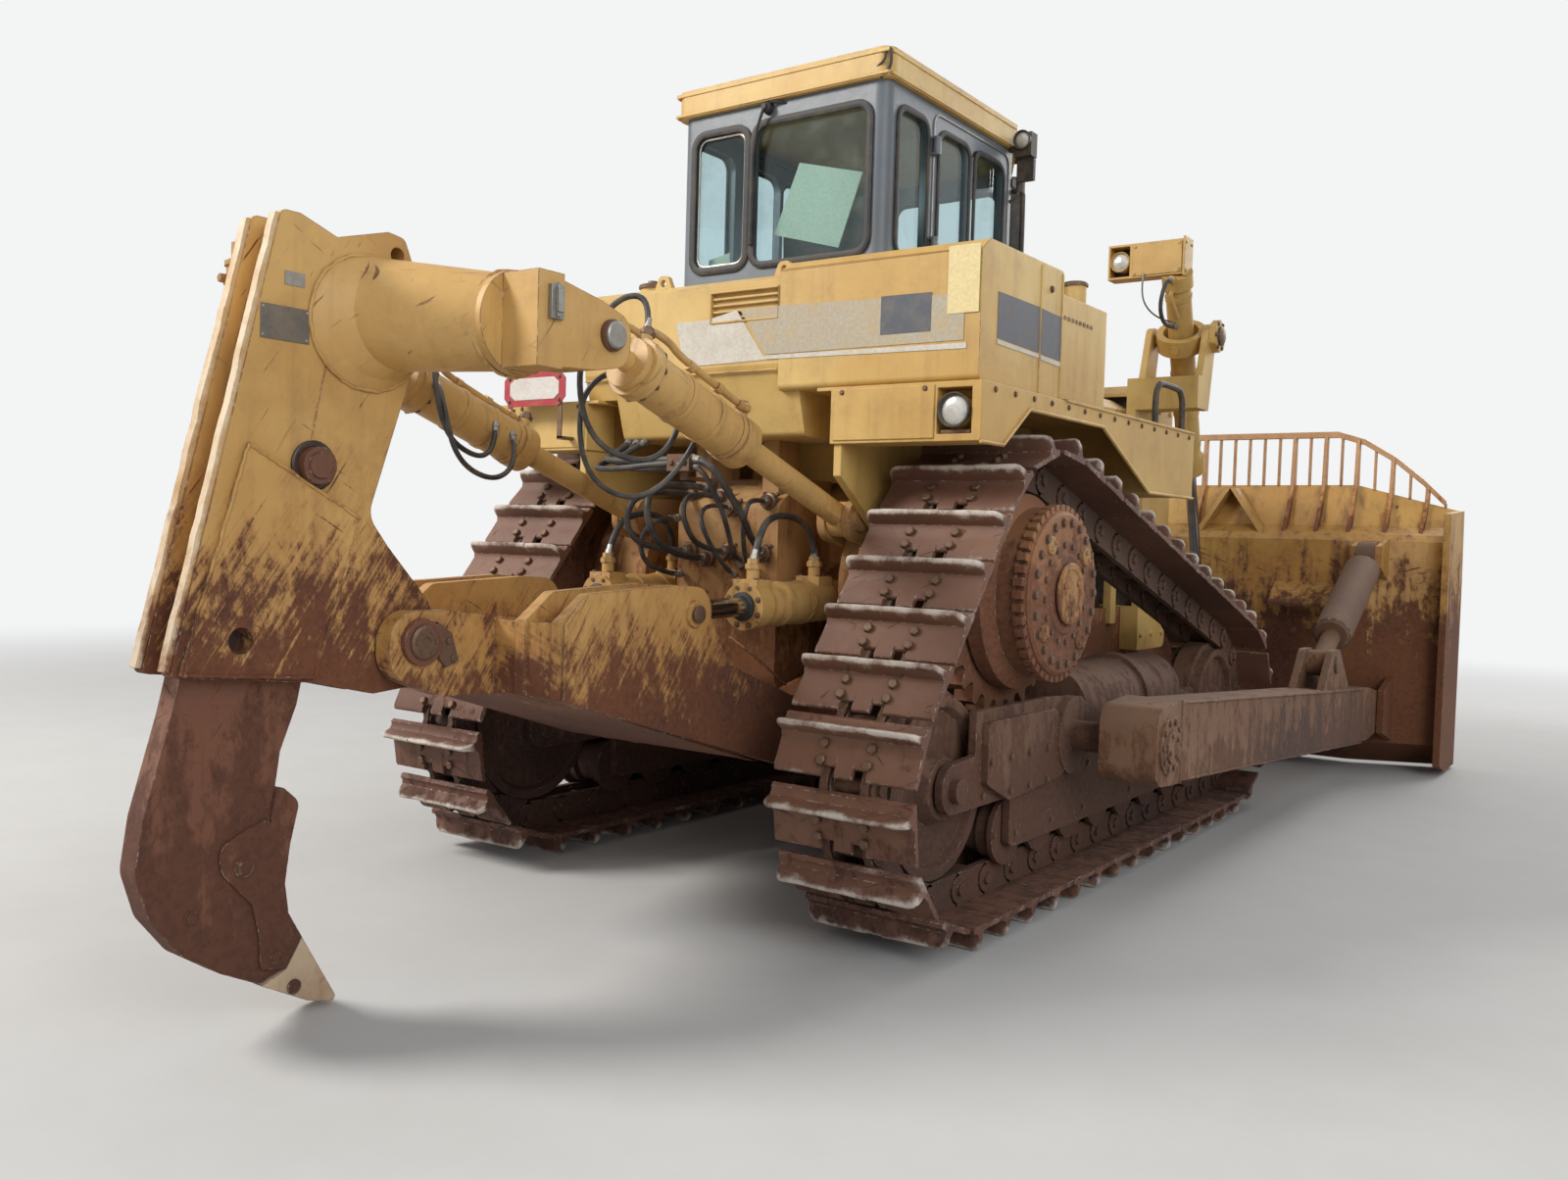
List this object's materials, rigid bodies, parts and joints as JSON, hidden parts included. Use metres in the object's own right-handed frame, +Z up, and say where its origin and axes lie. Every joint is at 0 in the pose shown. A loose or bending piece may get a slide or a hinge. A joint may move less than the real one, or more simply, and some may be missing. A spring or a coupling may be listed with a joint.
{
  "type": "crawler bulldozer",
  "caption": "Crawler bulldozer with high-drive tracks, wide curved blade with a rock rack, closed cab and a single-shank rear ripper.",
  "frame": {"origin": "on the ground under the middle of the whole machine", "axes": "+X to the machine's right, +Y forward, +Z up"},
  "size_m": [4.31, 8.876, 3.75],
  "materials": {
    "worn_yellow": "weathered industrial yellow paint",
    "cab_grey": "faded grey-blue paint",
    "track_steel": "dusty worn steel with rust",
    "cast_steel": "worn rusty steel",
    "rod_chrome": "dusty chrome",
    "dark_metal": "dark painted metal",
    "cab_glass": "dusty glass",
    "seat_black": "black vinyl"
  },
  "bodies": {
    "tractor": {"main_frame": "worn_yellow", "rear_case": "worn_yellow", "ripper_brackets": "worn_yellow", "track_right": "track_steel", "track_left": "track_steel", "track_wheels_right": "cast_steel", "track_wheels_left": "cast_steel", "final_drive_right": "worn_yellow", "final_drive_left": "worn_yellow", "track_frame_right": "worn_yellow", "track_frame_left": "worn_yellow", "engine_block": "dark_metal", "engine_hood": "worn_yellow", "radiator_guard": "worn_yellow", "grille": "dark_metal", "exhaust_and_intake": "dark_metal", "fuel_tank": "worn_yellow", "oil_tank": "worn_yellow", "fender_right": "worn_yellow", "fender_left": "worn_yellow", "cab_body": "cab_grey", "cab_roof": "worn_yellow", "cab_glass": "cab_glass", "seat_and_console": "seat_black", "lift_yokes": "worn_yellow"},
    "door_right": {"door_right": "cab_grey", "door_right_glass": "cab_glass"},
    "door_left": {"door_left": "cab_grey", "door_left_glass": "cab_glass"},
    "blade_and_arms": {"blade": "worn_yellow", "rock_rack": "worn_yellow", "push_arms": "worn_yellow", "tilt_cylinders": "worn_yellow"},
    "lift_rings": {"lift_rings": "worn_yellow"},
    "lift_barrel_right": {"lift_barrel_right": "worn_yellow"},
    "lift_barrel_left": {"lift_barrel_left": "worn_yellow"},
    "lift_rod_right": {"lift_rod_right": "rod_chrome"},
    "lift_rod_left": {"lift_rod_left": "rod_chrome"},
    "ripper_beam": {"ripper_beam": "worn_yellow"},
    "carrier_pin": {"carrier_pin": "cast_steel"},
    "ripper_carrier": {"ripper_carrier": "worn_yellow", "ripper_shank": "cast_steel", "shank_protector": "cast_steel", "ripper_tip": "cast_steel", "pin_puller": "dark_metal"},
    "tilt_cylinder_pins": {"tilt_cylinder_pins": "cast_steel"},
    "ripper_tilt_barrels": {"ripper_tilt_barrels": "worn_yellow"},
    "ripper_tilt_rods": {"ripper_tilt_rods": "rod_chrome"},
    "ripper_lift_barrels": {"ripper_lift_barrels": "worn_yellow"},
    "ripper_lift_rods": {"ripper_lift_rods": "rod_chrome"}
  },
  "joints": [
    {"name": "blade_lift", "type": "hinge", "parent": "tractor", "child": "blade_and_arms", "pos_m": [0, -0.87195, 0.725], "axis": [1, 0, 0], "range_deg": [-7, 14]},
    {"name": "lift_rings_swing", "type": "hinge", "parent": "tractor", "child": "lift_rings", "pos_m": [0, 1.83805, 2.92], "axis": [1, 0, 0], "range_deg": [-8.02, 15.85]},
    {"name": "lift_barrel_right_lean", "type": "hinge", "parent": "lift_rings", "child": "lift_barrel_right", "pos_m": [0.84, 1.83805, 2.92], "axis": [0, 0.7884, 0.6152], "range_deg": [-1.53, 2.97]},
    {"name": "lift_barrel_left_lean", "type": "hinge", "parent": "lift_rings", "child": "lift_barrel_left", "pos_m": [-0.84, 1.83805, 2.92], "axis": [0, 0.7884, 0.6152], "range_deg": [-2.97, 1.53]},
    {"name": "lift_rod_right_slide", "type": "slide", "parent": "lift_barrel_right", "child": "lift_rod_right", "axis": [-0.1133, 0.6112, -0.7833], "range_m": [-0.8401, 0.4211]},
    {"name": "lift_rod_left_slide", "type": "slide", "parent": "lift_barrel_left", "child": "lift_rod_left", "axis": [0.1133, 0.6112, -0.7833], "range_m": [-0.8401, 0.4211]},
    {"name": "ripper_lift", "type": "hinge", "parent": "tractor", "child": "ripper_beam", "pos_m": [0, -1.87195, 0.75], "axis": [-1, 0, 0], "range_deg": [-22, 30]},
    {"name": "carrier_level", "type": "hinge", "parent": "ripper_beam", "child": "carrier_pin", "pos_m": [0, -3.57195, 1.19], "axis": [1, 0, 0], "range_deg": [-18.49, 25.14]},
    {"name": "ripper_tilt", "type": "hinge", "parent": "carrier_pin", "child": "ripper_carrier", "pos_m": [0, -3.57195, 1.19], "axis": [1, 0, 0], "range_deg": [-6, 18]},
    {"name": "tilt_pins_turn", "type": "hinge", "parent": "ripper_carrier", "child": "tilt_cylinder_pins", "pos_m": [0, -3.22195, 2.212], "axis": [1, 0, 0], "range_deg": [-18.1, 6.1]},
    {"name": "tilt_barrels_swing", "type": "hinge", "parent": "tilt_cylinder_pins", "child": "ripper_tilt_barrels", "pos_m": [0, -3.22195, 2.212], "axis": [-1, 0, 0], "range_deg": [-20.26, 27.56]},
    {"name": "tilt_rods_slide", "type": "slide", "parent": "ripper_tilt_barrels", "child": "ripper_tilt_rods", "axis": [0, 0.9411, -0.3381], "range_m": [-0.1137, 0.3371]},
    {"name": "lift_barrels_swing", "type": "hinge", "parent": "tractor", "child": "ripper_lift_barrels", "pos_m": [0, -1.42195, 1.3], "axis": [-1, 0, 0], "range_deg": [-13.66, 18.56]},
    {"name": "lift_rods_slide", "type": "slide", "parent": "ripper_lift_barrels", "child": "ripper_lift_rods", "axis": [0, -0.9997, -0.0243], "range_m": [-0.2913, 0.2141]},
    {"name": "door_right_hinge", "type": "hinge", "parent": "tractor", "child": "door_right", "pos_m": [0.612, -0.99195, 3.2], "axis": [0, 0, -1], "range_deg": [0, 95]},
    {"name": "door_left_hinge", "type": "hinge", "parent": "tractor", "child": "door_left", "pos_m": [-0.612, -0.99195, 2.95], "axis": [0, 0, 1], "range_deg": [0, 100]}
  ],
  "couplings": [
    {"joint": "lift_rings_swing", "follows": "blade_lift", "ratio": 1.1175},
    {"joint": "lift_barrel_right_lean", "follows": "blade_lift", "ratio": 0.205},
    {"joint": "lift_barrel_left_lean", "follows": "blade_lift", "ratio": -0.205},
    {"joint": "lift_rod_right_slide", "follows": "blade_lift", "m_per_rad": -3.43},
    {"joint": "lift_rod_left_slide", "follows": "blade_lift", "m_per_rad": -3.43},
    {"joint": "carrier_level", "follows": "ripper_lift", "ratio": 0.8315},
    {"joint": "tilt_barrels_swing", "follows": "ripper_lift", "ratio": 0.912},
    {"joint": "lift_barrels_swing", "follows": "ripper_lift", "ratio": 0.612},
    {"joint": "lift_rods_slide", "follows": "ripper_lift", "m_per_rad": -0.5525},
    {"joint": "tilt_pins_turn", "follows": "ripper_tilt", "ratio": -1},
    {"joint": "tilt_rods_slide", "follows": "ripper_tilt", "m_per_rad": 1.0665}
  ]
}
